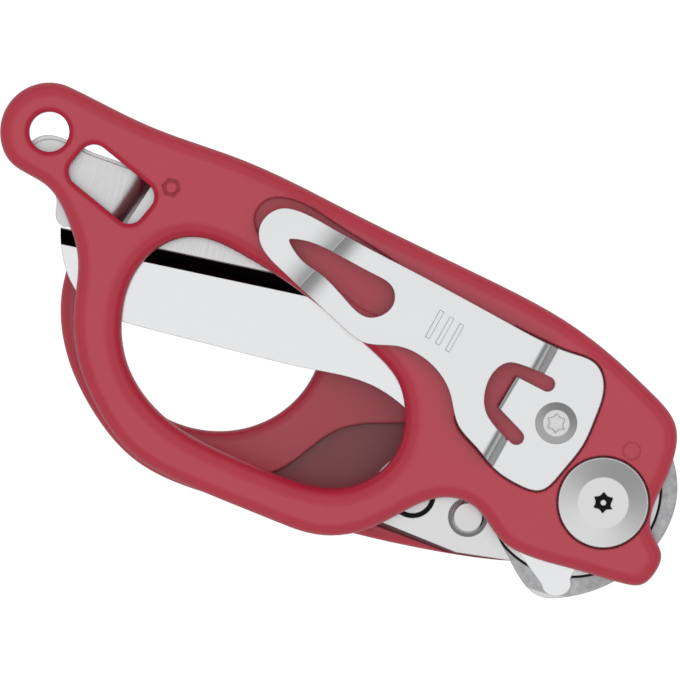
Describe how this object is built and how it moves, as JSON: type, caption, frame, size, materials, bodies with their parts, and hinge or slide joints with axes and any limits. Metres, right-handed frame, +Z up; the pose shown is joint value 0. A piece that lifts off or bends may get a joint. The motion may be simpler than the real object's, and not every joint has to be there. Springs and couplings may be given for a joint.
{
  "type": "folding rescue shears",
  "caption": "Folded rescue shears: two moulded handles with finger loops, two steel blades on one pivot, pocket clip, wrench slot and lanyard hole.",
  "frame": {"origin": "on the pivot axis, at the rear handle's resting face", "axes": "-X from the pivot to the lanyard hole, +Z up through the blades to the pocket clip, +Y towards the front handle's back"},
  "size_m": [0.1264, 0.0564, 0.0241],
  "materials": {
    "red_nylon": "satin moulded glass-filled nylon, rounded edges",
    "blade_steel": "polished stainless steel with a ground bevel",
    "clip_steel": "polished spring steel",
    "pivot_steel": "satin turned stainless steel",
    "plate_steel": "bright stamped stainless steel",
    "spring_steel": "drawn wire",
    "bronze": "turned bronze",
    "brass": "knurled brass"
  },
  "bodies": {
    "front_grip": {"front_handle": "red_nylon", "pocket_clip": "clip_steel", "clip_screw": "pivot_steel", "clip_insert": "brass", "pivot_screw": "pivot_steel", "pivot_nut": "pivot_steel", "front_pivot_bush": "bronze", "front_lock_plate": "plate_steel", "front_plate_screw": "plate_steel", "front_plate_insert": "brass", "front_lock_spring": "spring_steel", "front_washer": "bronze"},
    "front_blade_leaf": {"front_blade": "blade_steel"},
    "rear_blade_leaf": {"rear_blade": "blade_steel"},
    "rear_grip": {"rear_handle": "red_nylon", "rear_lock_plate": "plate_steel", "rear_plate_screw": "plate_steel", "rear_plate_insert": "brass", "rear_pivot_bush": "bronze", "rear_lock_spring": "spring_steel", "rear_washer": "bronze"},
    "front_button": {"front_lock_button": "plate_steel"},
    "rear_button": {"rear_lock_button": "plate_steel"}
  },
  "joints": [
    {"name": "front_blade_fold", "type": "hinge", "parent": "front_grip", "child": "front_blade_leaf", "pos_m": [0, 0, 0.012], "axis": [0, 0, 1], "range_deg": [0, 160]},
    {"name": "scissor_open", "type": "hinge", "parent": "front_blade_leaf", "child": "rear_blade_leaf", "pos_m": [0, 0, 0.0107], "axis": [0, 0, -1], "range_deg": [0, 40]},
    {"name": "rear_handle_fold", "type": "hinge", "parent": "rear_blade_leaf", "child": "rear_grip", "pos_m": [0, 0, 0.0081], "axis": [0, 0, 1], "range_deg": [0, 160]},
    {"name": "front_lock_press", "type": "slide", "parent": "front_grip", "child": "front_button", "axis": [0, 0, 1], "range_m": [0, 0.002], "stiffness_N_per_m": 500, "springref_m": -0.002, "deforming": ["front_lock_spring"]},
    {"name": "rear_lock_press", "type": "slide", "parent": "rear_grip", "child": "rear_button", "axis": [0, 0, -1], "range_m": [0, 0.002], "stiffness_N_per_m": 500, "springref_m": -0.002, "deforming": ["rear_lock_spring"]}
  ]
}
